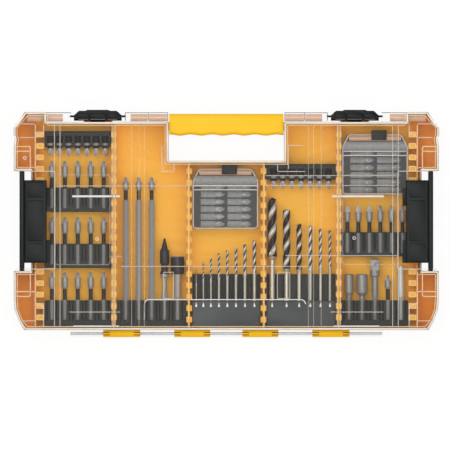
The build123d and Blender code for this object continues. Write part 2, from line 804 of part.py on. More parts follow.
small_sizes = [diameter for diameter, length in small_drills]
small_rows = []
with BuildPart() as small_set:
    for (diameter, length), x in zip(small_drills, drill_places(small_first_x, small_sizes, small_gap)):
        tail_y = foot_y + small_drill_seat + (small_sizes[-1] - diameter) * small_drill_rise
        small_rows.append((x, tail_y, diameter))
        thin = drill(diameter, length)
        with Locations((x, tail_y, bit_z)):
            add(thin)
save(small_set.part, "small_drills")
save(index_bar(bay_3, small_rows), "index_small_drills")
save(index_cover(bay_3), "cover_small_drills")


def small_case(hand, centre_x, low_y):
    """A small clear case: tray, lid, tab and two columns of short bits on their bars."""
    left_x, high_y = centre_x - box_width / 2, low_y + box_height

    def rounded(inset):
        low, high = low_y + inset, high_y - inset
        side = box_width / 2 - inset
        right = [(side, low), (side, high - box_cut_y), (side - box_cut_x, high)]
        left = [(-x, y) for x, y in reversed(right)]
        with BuildSketch() as outline:
            with BuildLine():
                Polyline(*[(centre_x + x, y) for x, y in right + left], close=True)
            make_face()
            corners = outline.vertices()
            foot = corners.group_by(Axis.Y)[0]
            fillet([corner for corner in corners if corner not in foot], box_cut_round)
            fillet(outline.vertices().group_by(Axis.Y)[0], box_foot_corner - inset)
        return outline.sketch

    tray_top = floor + box_tray
    lid_low = tray_top + rim_gap
    lid_top = floor + box_depth
    outer = rounded(0)
    inner = rounded(box_wall)
    with BuildPart() as tray:
        with BuildSketch(Plane.XY.offset(floor)):
            add(outer)
        extrude(amount=box_tray)
        with BuildSketch(Plane.XY.offset(floor + box_wall)):
            add(inner)
        extrude(amount=box_tray - box_wall, mode=Mode.SUBTRACT)
    save(tray.part, f"box_tray_{hand}")
    with BuildPart() as lid:
        with BuildSketch(Plane.XY.offset(lid_low)):
            add(outer)
        extrude(amount=lid_top - lid_low)
        chamfer(lid.faces().sort_by(Axis.Z)[-1].edges(), box_chamfer)
        with BuildSketch(Plane.XY.offset(lid_low)):
            add(inner)
        extrude(amount=lid_top - box_wall - lid_low, mode=Mode.SUBTRACT)
    save(lid.part, f"box_lid_{hand}")
    with BuildPart() as tab:
        x = (centre_x + tab_offset - tab_length / 2, centre_x + tab_offset + tab_length / 2)
        block(x, (high_y - tab_lap, high_y + tab_reach), (lid_top, lid_top + tab_thickness))
        block(x, (high_y, high_y + tab_reach), (tray_top - tab_hang, lid_top + tab_thickness))
    save(tab.part, f"box_tab_{hand}")
    # The columns are laid out pointing along +Y and turned to point along +X
    to_case = Location((left_x, low_y + box_height / 2, 0), (0, 0, -90))
    column = (box_wall + box_top_room - box_height / 2, box_height / 2 - box_wall)
    xs = places(column, box_column_bits, box_bit_pitch)
    tails = [box_column_start + i * box_column_step for i in range(box_columns)]
    axis_z = floor + box_wall + hex_corner + box_bit_lift
    bar_top = axis_z + box_bar_cover
    with BuildPart() as bits:
        with Locations(*[(x, y, axis_z) for x in xs for y in tails]):
            add(insert)
    save(bits.part.moved(to_case), f"box_bits_{hand}")
    with BuildPart() as bars:
        for y in tails:
            ends = (y - fit_gap, y + box_bar)
            bar_block(column, *ends, floor + box_wall, bar_top)
            for x in xs:
                channel(x, 2 * shank_r, ends[0], ends[1], axis_z, shank_r, bar_top)
    save(bars.part.moved(to_case), f"box_bars_{hand}")


small_case("left", box_left_x, box_left_y)
small_case("right", middle(bay_5), box_right_y)
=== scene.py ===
"""Looks of a bit set case: a yellow tray under a clear lid, filled with bits, drills and drivers.

The case lies on its back. X runs along its length, Y from the hinge to the handle and Z out through
the lid. Every length below is written in millimetres and turned to metres where a mesh is made.
"""

import logging
from dataclasses import dataclass, field
from enum import Enum
from functools import cache
from math import cos, pi, radians, sin
from typing import ClassVar

import bmesh
import bpy
from bpy.types import Material, Mesh, Node, NodeSocket, NodeTree, Object
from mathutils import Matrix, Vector


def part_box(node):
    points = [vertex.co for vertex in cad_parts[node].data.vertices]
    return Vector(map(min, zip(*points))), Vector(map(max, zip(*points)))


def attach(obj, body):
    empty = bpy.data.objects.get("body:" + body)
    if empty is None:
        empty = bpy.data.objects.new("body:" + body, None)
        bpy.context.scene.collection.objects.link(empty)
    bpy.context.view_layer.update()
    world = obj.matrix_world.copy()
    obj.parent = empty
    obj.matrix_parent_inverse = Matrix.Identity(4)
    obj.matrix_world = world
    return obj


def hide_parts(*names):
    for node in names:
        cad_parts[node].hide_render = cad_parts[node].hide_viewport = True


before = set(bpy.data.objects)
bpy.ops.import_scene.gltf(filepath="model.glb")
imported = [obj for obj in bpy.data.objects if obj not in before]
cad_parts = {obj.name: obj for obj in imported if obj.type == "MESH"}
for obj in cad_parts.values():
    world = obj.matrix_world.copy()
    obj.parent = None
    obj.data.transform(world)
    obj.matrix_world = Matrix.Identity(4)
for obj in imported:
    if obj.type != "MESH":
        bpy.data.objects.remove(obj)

log = logging.getLogger("bit_set_case")
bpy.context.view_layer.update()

MM = 0.001
SIDES = {"left": -1, "right": 1}
WHITE = (1.0, 1.0, 1.0, 1.0)
# Corners nearer than this are one, and faces that meet at less than this angle are one plane
WELD = 0.002 * MM
FLAT = radians(0.6)
# Edges sharper than the first angle are rounded, and those sharper than the second shade sharp
ROUNDED_FROM = radians(32)
SHARP_FROM = radians(28)
MATH = "ShaderNodeMath"
RAMP = "ShaderNodeMapRange"
NOISE = "ShaderNodeTexNoise"

Point = tuple[float, float]
Line = list[Point]
Colour = tuple[float, float, float, float]
Looks = tuple[list[tuple], dict]


def linear(colour: str) -> Colour:
    """Turns an sRGB hex colour to linear light.

    Args:
        colour: Six hex digits, with or without a leading hash.

    Returns:
        Red, green, blue and an alpha of one.
    """
    digits = colour.lstrip("#")
    channels = [int(digits[i:i + 2], 16) / 255 for i in (0, 2, 4)]
    light = [c / 12.92 if c <= 0.04045 else ((c + 0.055) / 1.055) ** 2.4 for c in channels]
    return (light[0], light[1], light[2], 1.0)


def add(tree: NodeTree, kind: str, sockets: dict | tuple = (), **settings) -> Node:
    """Adds one node to a tree.

    Args:
        tree: The node tree.
        kind: Blender's name for the node's type.
        sockets: Values of the inputs, in order or under their names or numbers. What feeds an input
            can stand for its value: an output socket, or a node by its first output.
        **settings: Properties of the node.

    Returns:
        The new node.
    """
    node = tree.nodes.new(kind)
    for name, value in settings.items():
        setattr(node, name, value)
    for key, value in sockets.items() if isinstance(sockets, dict) else enumerate(sockets):
        source = value.outputs[0] if isinstance(value, Node) else value
        if isinstance(source, NodeSocket):
            tree.links.new(source, node.inputs[key])
        else:
            node.inputs[key].default_value = source
    return node


def work_out(tree: NodeTree, values: dict[str, object], steps: tuple[tuple, ...]) -> None:
    """Adds the nodes of a sum that is written as a table.

    Args:
        tree: The node tree.
        values: What is known, by name. Every result is added to it.
        steps: Rows of a result's name, its operation and its terms, each a name or a number. Linear
            and smoothstep are ramps: a value, its range, and the range that it is turned to.
    """
    for name, operation, *terms in steps:
        sockets = tuple(values[term] if isinstance(term, str) else term for term in terms)
        if operation in ("LINEAR", "SMOOTHSTEP"):
            values[name] = add(tree, RAMP, sockets, interpolation_type=operation)
        else:
            values[name] = add(tree, MATH, sockets, operation=operation)


def blank_material(name: str) -> tuple[Material, NodeTree]:
    """Makes an empty node material.

    Args:
        name: The finish's name.

    Returns:
        The material and its node tree.
    """
    material = bpy.data.materials.new(name)
    material.use_nodes = True
    material.node_tree.nodes.clear()
    return material, material.node_tree


class Axis(Enum):
    """Directions that fine marks can run in, as the stretch of their pattern along X, Y and Z."""

    NONE = (1.0, 1.0, 1.0)
    ALONG_Y = (1.0, 0.06, 1.0)
    ROUND_Y = (0.06, 1.0, 0.06)


@dataclass(frozen=True)
class Finish:
    """What every finish has: a colour, with others laid over it, and fine marks in the surface.

    Each kind of finish has a roughness and the size of its marks in mark_mm. The roughness follows
    the marks: over the span of their pattern it goes from one end of the sway to the other. Relief
    is their strength and their depth in millimetres.
    """

    name: str
    colour: str
    marks: Axis = field(default=Axis.NONE, kw_only=True)
    detail: ClassVar[float] = 2.0
    span: ClassVar[Point] = (0.3, 0.7)
    sway: ClassVar[Point] = (-0.06, 0.08)
    relief: ClassVar[Point] = (0.0, 0.0)

    def make(self) -> Material:
        """Returns the finished material."""
        material, tree = blank_material(self.name)
        place = add(tree, "ShaderNodeTexCoord").outputs["Object"]
        stretched = add(tree, "ShaderNodeMapping", {"Vector": place, "Scale": self.marks.value})
        fine = add(tree, NOISE, {"Vector": stretched, "Scale": 1 / (self.mark_mm * MM),
                                 "Detail": self.detail})
        rough = add(tree, RAMP, (fine, *self.span, *(self.roughness + sway for sway in self.sway)))
        layers, inputs = self.surface(tree, place, fine)
        tone: object = linear(self.colour)
        for share, colour in layers:
            tone = add(tree, "ShaderNodeMix", {"Factor": share, 6: tone, 7: linear(colour)},
                       data_type="RGBA").outputs[2]
        inputs.update({"Base Color": tone, "Roughness": rough})
        strength, depth = self.relief
        if strength:
            inputs["Normal"] = add(tree, "ShaderNodeBump",
                                   {"Height": fine, "Strength": strength, "Distance": depth * MM})
        shader = add(tree, "ShaderNodeBsdfPrincipled", inputs)
        add(tree, "ShaderNodeOutputMaterial", {"Surface": shader})
        return material

    def surface(self, tree: NodeTree, place: NodeSocket, fine: Node) -> Looks:
        """Makes the nodes that are this kind's own.

        Args:
            tree: The material's node tree.
            place: The Object coordinates.
            fine: The fine marks.

        Returns:
            The layers over the colour, each with what feeds its share and its own colour, and the
            shader's further inputs.
        """
        raise NotImplementedError(self.name)


@dataclass(frozen=True)
class MouldedPlastic(Finish):
    """Opaque injection-moulded plastic with a spark-eroded texture and slow flow marks.

    The real grain is about 0.1 mm, too fine to show, so it is drawn at the coarser size in mark_mm.
    """

    shade: str
    roughness: float = 0.42
    mark_mm: float = 0.9
    gloss: float = 0.16
    flow_mm: float = 42.0
    span: ClassVar[Point] = (0.0, 1.0)
    sway: ClassVar[Point] = (-0.06, 0.06)
    relief: ClassVar[Point] = (0.5, 0.03)

    def surface(self, tree: NodeTree, place: NodeSocket, fine: Node) -> Looks:
        """Makes the flow marks. See Finish.surface."""
        flow = add(tree, NOISE, {"Vector": place, "Scale": 1 / (self.flow_mm * MM), "Detail": 3.0})
        return [(flow, self.shade)], {"Specular IOR Level": self.gloss}


@dataclass(frozen=True)
class TrayPlastic(MouldedPlastic):
    """Yellow polypropylene, moulded. Light that bounces about in its deep pockets turns it orange.

    The colour runs from the bright yellow of what stands outside, over the floor under the lid, to
    the orange of the narrow pockets in the four ears. These are lit and shaded copies of one yellow:
    painted shade deepens towards the floor, the pockets' orange is painted bounced light, and each
    groove of the hinge gets a painted dark shade. The grain is drawn coarser than the real one.
    """

    # Painted light and shade: bounced light in the ears' pockets, the lit yellow outside the lid, and shade
    # in each groove of the hinge
    painted_pocket_light: str = "E9971A"
    bright: str = "FFC61C"
    groove: str = "8A3A10"
    cloud_mm: float = 250 / 7
    pocket_x: float = 201.0
    wall_top: float = 29.0
    handle_x: float = 61.0
    handle_y: float = 90.0
    hinge_y: float = -111.2
    pin: Point = (-115.6, 24.0)
    groove_r: float = 3.35
    relief: ClassVar[Point] = (0.4, 0.03)

    def surface(self, tree: NodeTree, place: NodeSocket, fine: Node) -> Looks:
        """Paints the yellow's light and shade by region and in the hinge. See Finish.surface."""
        found = dict(zip("xyz", add(tree, "ShaderNodeSeparateXYZ", (place,)).outputs))
        found["cloud"] = add(tree, NOISE, {"Vector": place, "Scale": 1 / (self.cloud_mm * MM),
                                           "Detail": 2.0})
        work_out(tree, found, (
            ("across", "ABSOLUTE", "x"),
            # Painted bounced light in the ears' pockets, and painted shade that deepens towards the floor
            ("far", "LINEAR", "across", (self.pocket_x - 2) * MM, self.pocket_x * MM),
            ("deep", "LINEAR", "z", self.wall_top * MM, 0.0),
            ("depth", "MULTIPLY_ADD", "deep", "cloud", 0.15),
            # The lit yellow where the handle and the hinge stand outside the lid
            ("near", "LINEAR", "across", (self.handle_x + 1) * MM, self.handle_x * MM),
            ("high", "LINEAR", "y", (self.handle_y - 1) * MM, self.handle_y * MM),
            ("grip", "MULTIPLY", "near", "high"),
            ("hinge", "LINEAR", "y", self.hinge_y * MM, (self.hinge_y - 0.6) * MM),
            ("outside", "MAXIMUM", "grip", "hinge"),
            # Painted shade in each groove of the hinge, inside the knuckle's radius
            ("pin_y", "SUBTRACT", "y", self.pin[0] * MM),
            ("pin_z", "SUBTRACT", "z", self.pin[1] * MM),
            ("square", "MULTIPLY", "pin_y", "pin_y"),
            ("both", "MULTIPLY_ADD", "pin_z", "pin_z", "square"),
            ("radius", "SQRT", "both"),
            ("sunk", "LINEAR", "radius", self.groove_r * MM, (self.groove_r - 0.1) * MM)))
        layers = [(found["depth"], self.shade), (found["far"], self.painted_pocket_light),
                  (found["outside"], self.bright), (found["sunk"], self.groove)]
        return layers, {"Specular IOR Level": self.gloss}


@dataclass(frozen=True)
class ClearPlastic(Finish):
    """Clear glossy moulding. The haze of a real wall is the plain alpha; fine wear dulls the gloss."""

    alpha: float
    roughness: float = 0.12
    mark_mm: float = 9.0
    ior: float = 1.58
    detail: ClassVar[float] = 4.0
    span: ClassVar[Point] = (0.35, 0.7)
    sway: ClassVar[Point] = (0.0, 0.14)

    def surface(self, tree: NodeTree, place: NodeSocket, fine: Node) -> Looks:
        """Lets the light through. See Finish.surface."""
        return [], {"IOR": self.ior, "Alpha": self.alpha}


@dataclass(frozen=True)
class ToolSteel(Finish):
    """Hardened tool steel with a thin finish and fine marks from grinding or drawing.

    The real marks are some hundredths of a millimetre apart, so they are drawn coarser, at mark_mm.
    """

    stain: str
    roughness: float = 0.44
    metallic: float = 0.4
    mark_mm: float = 0.5
    marks: Axis = field(default=Axis.ALONG_Y, kw_only=True)
    detail: ClassVar[float] = 3.0
    sway: ClassVar[Point] = (-0.07, 0.07)
    relief: ClassVar[Point] = (0.25, 0.02)

    def surface(self, tree: NodeTree, place: NodeSocket, fine: Node) -> Looks:
        """Stains the steel along its marks. See Finish.surface."""
        return [(fine, self.stain)], {"Metallic": self.metallic}


@dataclass(frozen=True)
class BandedSteel(Finish):
    """Phosphated driver steel, darker between some heights, as along a waist.

    Its stains are drawn coarser than the real crystals, at mark_mm.
    """

    dark: str
    bands: tuple[Point, ...]
    roughness: float = 0.46
    metallic: float = 0.4
    mark_mm: float = 0.6
    fade: float = 0.4
    detail: ClassVar[float] = 3.0

    def surface(self, tree: NodeTree, place: NodeSocket, fine: Node) -> Looks:
        """Makes the bands and the stains. See Finish.surface."""
        along = add(tree, "ShaderNodeSeparateXYZ", (place,)).outputs[1]
        found = {"along": along, "darker": 0.0}
        for low, high in self.bands:
            work_out(tree, found, (
                ("after", "LINEAR", "along", (low - self.fade) * MM, (low + self.fade) * MM),
                ("before", "LINEAR", "along", (high + self.fade) * MM, (high - self.fade) * MM),
                ("band", "MULTIPLY", "after", "before"),
                ("darker", "MAXIMUM", "darker", "band")))
        share = add(tree, MATH, (fine, 0.25, found["darker"]), operation="MULTIPLY_ADD", use_clamp=True)
        return [(share, self.dark)], {"Metallic": self.metallic}


@dataclass(frozen=True)
class DrillSteel(Finish):
    """High-speed steel of a twist drill: land, flute and shank tones, by the mesh's attributes.

    Its grinding marks are drawn coarser than the real ones, at mark_mm. The flute tone is painted
    light in the hollows: a highlight where it is pale, shade where it is dark.
    """

    flute: str
    shank: str
    metallic: float = 0.6
    roughness: float = 0.38
    mark_mm: float = 0.5

    def surface(self, tree: NodeTree, place: NodeSocket, fine: Node) -> Looks:
        """Makes the flutes' painted light and the shank's tone. See Finish.surface."""
        cut, plain = (add(tree, "ShaderNodeAttribute", attribute_name=name).outputs["Fac"]
                      for name in ("cut", "plain"))
        # Painted light in the flutes, full where a hollow is more than a little deep
        edge = add(tree, RAMP, (cut, 0.08, 0.3))
        return [(edge, self.flute), (plain, self.shank)], {"Metallic": self.metallic}


# Moulded polypropylene of the tray: a soft satin, lemon on the handle and orange in pockets, with
# light and shade painted on the one yellow
YELLOW = TrayPlastic("polypropylene_moulded_yellow", "F8B63C", "FCBA2C", 0.45, 1.1, gloss=0.2)
# The same plastic where thin tops of teeth let light through: a pale cream edge
BEAD = MouldedPlastic("polypropylene_pale_bead", "FFE0A4", "F6CE86", 0.4)
# Moulded polycarbonate of the lid, nearly unseen on the flat; where a wall is seen edge on, its
# bright lines are painted light
CLEAR_LID = ClearPlastic("polycarbonate_clear", "9C988F", 0.03)
LID_WALL = ClearPlastic("polycarbonate_along_the_wall", "FFF6E6", 0.85, 0.2)
LID_HAZE = ClearPlastic("polycarbonate_inside_the_wall", "EFE6D8", 0.2, 0.2)
LID_BAR = ClearPlastic("polycarbonate_thick_bar", "F7F3EE", 0.85, 0.18)
# Its ribs pipe light along themselves: cream lines, warmer over yellow, fainter where they are low
LID_RIB = ClearPlastic("polycarbonate_rib", "F4EADB", 0.42, 0.2)
LID_FAINT = ClearPlastic("polycarbonate_faint_rib", "F2E6D0", 0.2, 0.2)
LID_STEP = ClearPlastic("polycarbonate_step_over_yellow", "FFDDAE", 0.8, 0.2)
# Its outermost edge bends light away and shows as a thin grey line; its flange takes a peach tint
LID_EDGE = ClearPlastic("polycarbonate_dark_edge", "8D8982", 0.75, 0.2)
FLANGE_HAZE = ClearPlastic("polycarbonate_flange_panel", "F0C2A0", 0.75, 0.2)
# Moulded polystyrene of the small cases: glassy and a little foggy, with a peach strip and cream
# rim; a pale band across the lid is a painted sheen
BOX_CLEAR = ClearPlastic("polystyrene_clear", "C4C6C8", 0.05, 0.2, ior=1.59)
BOX_SHEEN = ClearPlastic("polystyrene_painted_sheen_band", "EDEDE8", 0.24, 0.3, ior=1.59)
BOX_STRIP = ClearPlastic("polystyrene_over_yellow", "F6BE93", 0.6, 0.3, ior=1.59)
BOX_RIM = ClearPlastic("polystyrene_rim", "F3DCC2", 0.75, 0.2, ior=1.59)
# Moulded ABS of the latches: fine-grained charcoal or black. Near-black strips of painted shade
# lie in each groove, and pale grey strips under the pads are painted highlights
CHARCOAL = MouldedPlastic("abs_moulded_charcoal", "1F2322", "181B1B", 0.42)
BLACK = MouldedPlastic("abs_moulded_black", "131415", "0C0D0E", 0.4)
GROOVE_SHADE = MouldedPlastic("abs_groove_shadow", "060707", "040505", 0.5)
PAINTED_EDGE_HIGHLIGHT = MouldedPlastic("abs_painted_edge_highlight", "8B878E", "5C595E", 0.3)
# Moulded polypropylene of the bars: a dull, slightly mottled dark grey or black
RACK_GREY = MouldedPlastic("polypropylene_moulded_grey", "323432", "282A28", 0.5)
CASE_BAR = MouldedPlastic("polypropylene_moulded_black", "121413", "0C0E0D", 0.5)
INDEX_BLACK = MouldedPlastic("polypropylene_index_black", "212322", "181A19", 0.5)
# The smoother covers over the drills' shanks: a paler grey; their broad dark clouds are painted
# reflections
COVER_GREY = MouldedPlastic("polypropylene_cover_grey", "606466", "26292A", 0.46, flow_mm=55.0)
# Pad-printed ink: an even matt white
INK = MouldedPlastic("pad_printing_ink_white", "F4F4F0", "E6E6E2", 0.6)
# Zinc-plated wire of the hinge pin: bright and pale, with drawing marks round it
ZINC = ToolSteel("zinc_plated_pin_steel", "F0F2F3", "DDE0E2", 0.3, 0.3, marks=Axis.ROUND_Y)
# Phosphated steel of tools and bits: a matt grey, finely streaked along its length
GREY_STEEL = ToolSteel("phosphated_tool_steel", "9C9A96", "7B7873")
CASE_STEEL = ToolSteel("phosphated_bit_steel", "CBCBC8", "8A8A87", mark_mm=1.6)
# Ground steel of the magnetic holder: paler and more even
BRIGHT_STEEL = ToolSteel("ground_tool_steel", "CFCFCB", "B4B4AE")
# High-speed steel, oxidised with black lands, and all ground with pale lands. The flutes' tone is
# painted light: a pale painted highlight on the black drills, dark painted shade on the bright ones
BLACK_DRILL = DrillSteel("black_oxide_high_speed_steel", "100E0F", "CFCAC2", "C2BDAE")
BRIGHT_DRILL = DrillSteel("ground_high_speed_steel", "C6C2B8", "4C4841", "B3B0A4", 0.45)


@cache
def finish(kind: Finish) -> Material:
    """Returns a finish's material, made once."""
    return kind.make()


def dress(thing: Object, kind: Finish) -> None:
    """Gives an object one material.

    Args:
        thing: A mesh object.
        kind: Its finish.
    """
    if not thing.material_slots:
        thing.data.materials.append(finish(kind))
    for held in thing.material_slots:
        held.material = finish(kind)


def new_object(name: str, data: bpy.types.ID) -> Object:
    """Puts a new object in the scene, at the origin.

    Args:
        name: Its name.
        data: Its mesh, lamp or camera.

    Returns:
        The object.
    """
    thing = bpy.data.objects.new(name, data)
    bpy.context.scene.collection.objects.link(thing)
    return thing


def fit(name: str, mesh: Mesh, kind: Finish, body: str, slot: str, *nodes: str) -> None:
    """Puts a piece with one finish in the scene, fixed to a body.

    Args:
        name: The piece's name.
        mesh: Its mesh, in place, in metres.
        kind: Its finish.
        body: The body that it moves with.
        slot: The record's material slot for it. Not used.
        *nodes: The CAD nodes that it replaces.
    """
    mesh.name = name
    mesh.materials.clear()
    thing = new_object(name, mesh)
    dress(thing, kind)
    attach(thing, body)
    if nodes:
        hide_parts(*nodes)
    log.info("%s rides on %s with %d faces", name, body, len(mesh.polygons))


def evaluated(thing: Object) -> Mesh:
    """Applies an object's modifiers.

    Args:
        thing: An object with modifiers. It is removed.

    Returns:
        The plain mesh that the modifiers make of it.
    """
    bpy.context.view_layer.update()
    graph = bpy.context.evaluated_depsgraph_get()
    mesh = bpy.data.meshes.new_from_object(thing.evaluated_get(graph), depsgraph=graph)
    bpy.data.objects.remove(thing)
    return mesh


def grown(base: Mesh, tree: NodeTree, values: dict[str, object]) -> Mesh:
    """Runs a Geometry Nodes tree on a mesh.

    Args:
        base: The mesh that goes in.
        tree: The tree.
        values: Value of each named input.

    Returns:
        The mesh that comes out, with no modifier.
    """
    thing = new_object("growing", base)
    modifier = thing.modifiers.new("grow", "NODES")
    modifier.node_group = tree
    for item in tree.interface.items_tree:
        if item.in_out == "INPUT" and item.name in values:
            modifier[item.identifier] = values[item.name]
    return evaluated(thing)


def soften(node: str, name: str, kind: Finish, width: float, slot: str, body: str = "tray") -> None:
    """Replaces a CAD node by a copy with its sharp edges rounded, as a mould leaves them.

    Args:
        node: The CAD node.
        name: Name of the new piece.
        kind: Its finish.
        width: Width of the rounding in millimetres.
        slot: The record's material slot for it.
        body: The body that it moves with.
    """
    work = bmesh.new()
    work.from_mesh(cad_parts[node].data)
    bmesh.ops.remove_doubles(work, verts=work.verts, dist=WELD)
    bmesh.ops.dissolve_limit(work, angle_limit=FLAT, verts=work.verts, edges=work.edges)
    mesh = bpy.data.meshes.new(name)
    work.to_mesh(mesh)
    work.free()
    thing = new_object(name, mesh)
    edge = thing.modifiers.new("edge", "BEVEL")
    edge.width = width * MM
    edge.segments = 2
    edge.limit_method = "ANGLE"
    edge.angle_limit = ROUNDED_FROM
    edge.use_clamp_overlap = True
    rounded = evaluated(thing)
    rounded.shade_smooth()
    rounded.set_sharp_from_angle(angle=SHARP_FROM)
    fit(name, rounded, kind, body, slot, node)


def input_tree(name: str, **inputs: str) -> tuple[NodeTree, bpy.types.NodeOutputs]:
    """Starts a Geometry Nodes tree.

    Args:
        name: The tree's name.
        **inputs: Name and kind of each input between the geometry and the material.

    Returns:
        The tree and the sockets of its inputs.
    """
    tree = bpy.data.node_groups.new(name, "GeometryNodeTree")
    tree.interface.new_socket("Geometry", in_out="OUTPUT", socket_type="NodeSocketGeometry")
    for key, kind in {"Geometry": "Geometry", **inputs, "Material": "Material"}.items():
        tree.interface.new_socket(key, in_out="INPUT", socket_type=f"NodeSocket{kind}")
    return tree, add(tree, "NodeGroupInput").outputs


def end_tree(tree: NodeTree, shape: Node, material: NodeSocket) -> NodeTree:
    """Ends a Geometry Nodes tree in plain faces with a material.

    Args:
        tree: The tree.
        shape: The node with the geometry to put out.
        material: The material's socket.

    Returns:
        The same tree.
    """
    real = add(tree, "GeometryNodeRealizeInstances", (shape,))
    dressed = add(tree, "GeometryNodeSetMaterial", {"Geometry": real, "Material": material})
    add(tree, "NodeGroupOutput", (dressed,))
    return tree


@cache
def rib_tree() -> NodeTree:
    """Returns the tree that lays a flat rib along every chain of edges."""
    tree, given = input_tree("rib_along_lines", Width="Float", Height="Float", Corner="Float")
    path = add(tree, "GeometryNodeMeshToCurve", (given["Geometry"],))
    soft = add(tree, "GeometryNodeFilletCurve",
               {"Curve": path, "Count": 4, "Radius": given["Corner"], "Limit Radius": True}, mode="POLY")
    flat = add(tree, "GeometryNodeSetCurveNormal", {"Curve": soft}, mode="Z_UP")
    section = add(tree, "GeometryNodeCurvePrimitiveQuadrilateral", (given["Width"], given["Height"]))
    rib = add(tree, "GeometryNodeCurveToMesh", {"Curve": flat, "Profile Curve": section, "Fill Caps": True})
    return end_tree(tree, rib, given["Material"])


def line_mesh(lines: list[Line], height: float) -> Mesh:
    """Makes a mesh of bare edges.

    Args:
        lines: Chains of points seen from above, in millimetres. A chain that ends where it starts
            is a loop.
        height: Their height in millimetres.

    Returns:
        The mesh.
    """
    points: list[tuple[float, float, float]] = []
    edges: list[tuple[int, int]] = []
    for line in lines:
        first = len(points)
        closed = line[0] == line[-1]
        chain = line[:-1] if closed else line
        points.extend((x * MM, y * MM, height * MM) for x, y in chain)
        edges.extend((first + i, first + i + 1) for i in range(len(chain) - 1))
        if closed:
            edges.append((len(points) - 1, first))
    mesh = bpy.data.meshes.new("lines")
    mesh.from_pydata(points, edges, [])
    return mesh


def level(y: float, *spans: Point) -> list[Line]:
    """Returns a line along X for each span, all at one Y."""
    return [[(start, y), (end, y)] for start, end in spans]


def upright(places: tuple[float, ...], *spans: Point) -> list[Line]:
    """Returns a line along Y for each span, at each of some places along X."""
    return [[(x, start), (x, end)] for x in places for start, end in spans]


def box_line(x: Point, y: Point) -> Line:
    """Returns the closed outline of a rectangle between two values along X and two along Y."""
    return [(x[0], y[0]), (x[1], y[0]), (x[1], y[1]), (x[0], y[1]), (x[0], y[0])]


def ring(spot: Point, radius: float) -> Line:
    """Returns a closed line of twelve points round a spot."""
    turns = [radians(30 * i) for i in (*range(12), 0)]
    return [(spot[0] + radius * cos(turn), spot[1] + radius * sin(turn)) for turn in turns]


def mirrored(line: Line) -> Line:
    """Returns a line's mirror image about the middle of the case."""
    return [(-x, y) for x, y in line]


def paired(lines: list[Line]) -> list[Line]:
    """Returns lines with their mirror images."""
    return lines + [mirrored(line) for line in lines]


@dataclass(frozen=True)
class Rib:
    """The section of a rib, and how it is finished.

    Its middle is the height of its middle above the table, and its corner the radius of its bends.
    """

    kind: Finish
    width: float
    height: float = 1.2
    middle: float = 45.5
    corner: float = 1.2

    def lay(self, name: str, lines: list[Line], body: str = "lid", slot: str = "clear_plastic") -> None:
        """Lays the rib along lines, as one piece.

        Args:
            name: The piece's name.
            lines: Lines seen from above, in millimetres.
            body: The body that it moves with.
            slot: The record's material slot for it.
        """
        mesh = grown(line_mesh(lines, self.middle), rib_tree(), {
            "Width": self.width * MM, "Height": self.height * MM, "Corner": self.corner * MM,
            "Material": finish(self.kind)})
        fit(name, mesh, self.kind, body, slot)


@dataclass
class Tray:
    """The yellow tray with its hinge pin, and the pale beads that edge its rails' teeth."""

    rounding: float = 0.35
    tooth_x: Point = (191.9, 198.9)
    tooth_pitch: float = 12.0
    tooth_length: float = 5.0
    tooth_middle: float = -2.5
    tooth_count: int = 17
    bead: Rib = Rib(BEAD, 1.1, 0.5, 28.1, 1.4)

    def beads(self) -> None:
        """Lays a bead round the top of every tooth of the two end rails."""
        lines = []
        for i in range(self.tooth_count):
            middle = self.tooth_middle + (i - (self.tooth_count - 1) / 2) * self.tooth_pitch
            if SideLatch.plate[0] < middle < SideLatch.plate[1]:
                continue
            ends = (middle - self.tooth_length / 2, middle + self.tooth_length / 2)
            lines.append(box_line(self.tooth_x, ends))
        self.bead.lay("tray_rail_beads", paired(lines), "tray", "yellow_plastic")

    def build(self) -> None:
        """Rounds the tray's edges and dresses it, its beads and the pin."""
        self.beads()
        soften("base_shell", "tray_shell", YELLOW, self.rounding, "yellow_plastic")
        dress(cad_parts["hinge_pin"], ZINC)


